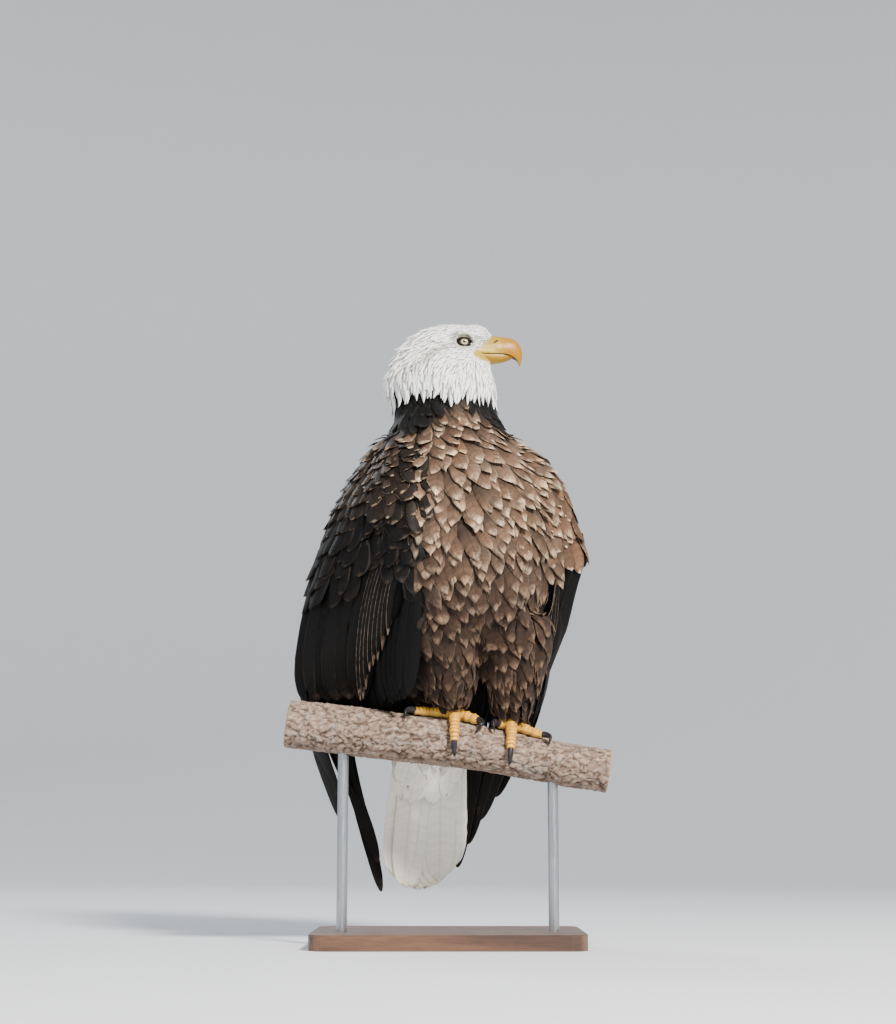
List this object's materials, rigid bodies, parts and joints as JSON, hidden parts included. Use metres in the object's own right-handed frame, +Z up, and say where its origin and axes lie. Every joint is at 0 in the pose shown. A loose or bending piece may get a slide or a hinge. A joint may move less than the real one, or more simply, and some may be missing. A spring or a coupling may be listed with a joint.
{
  "type": "bald eagle model on a perch",
  "caption": "Life-size bald eagle, standing still with folded wings and its head turned to one side, on a cut length of branch held by a plain base and rods.",
  "frame": {"origin": "centre of the flat underside of the stand's base", "axes": "+Z up; +X along the branch, the way the head looks; +Y behind the bird, so that its breast faces -Y turned 20 degrees towards +X"},
  "size_m": [0.4333, 0.3099, 0.8347],
  "materials": {
    "head_feathers": "soft matt white feathers",
    "neck_feathers": "soft matt blackish feathers",
    "body_feathers": "matt brown feathers with paler tan edges",
    "wing_feathers": "dark brown feathers with a slight sheen",
    "tail_feathers": "cream-white feathers",
    "bill_horn": "yellow-orange horn with a soft sheen",
    "eye": "wet pale yellow iris with a black pupil",
    "foot_skin": "yellow-orange scaly skin",
    "claw_horn": "black horn with a soft sheen",
    "bark": "rough cracked bark with pale cut ends",
    "base_wood": "dark stained wood, satin",
    "rod_steel": "plain brushed steel"
  },
  "bodies": {
    "root": {"head": "head_feathers", "neck": "neck_feathers", "trunk": "body_feathers", "thigh_right": "body_feathers", "thigh_left": "body_feathers", "wing_right_coverts": "wing_feathers", "wing_right_secondaries": "wing_feathers", "wing_right_primaries": "wing_feathers", "wing_left_coverts": "wing_feathers", "wing_left_secondaries": "wing_feathers", "wing_left_primaries": "wing_feathers", "tail_feathers": "tail_feathers", "tail_coverts_under": "tail_feathers", "tail_coverts_upper": "tail_feathers", "bill_upper": "bill_horn", "bill_lower": "bill_horn", "eye_right": "eye", "eye_left": "eye", "foot_right": "foot_skin", "foot_left": "foot_skin", "toe_right_outer": "foot_skin", "toe_right_middle": "foot_skin", "toe_right_inner": "foot_skin", "toe_right_hind": "foot_skin", "toe_left_outer": "foot_skin", "toe_left_middle": "foot_skin", "toe_left_inner": "foot_skin", "toe_left_hind": "foot_skin", "claw_right_outer": "claw_horn", "claw_right_middle": "claw_horn", "claw_right_inner": "claw_horn", "claw_right_hind": "claw_horn", "claw_left_outer": "claw_horn", "claw_left_middle": "claw_horn", "claw_left_inner": "claw_horn", "claw_left_hind": "claw_horn", "perch_branch": "bark", "stand_base": "base_wood", "stand_rod_left": "rod_steel", "stand_rod_right": "rod_steel"}
  },
  "joints": []
}
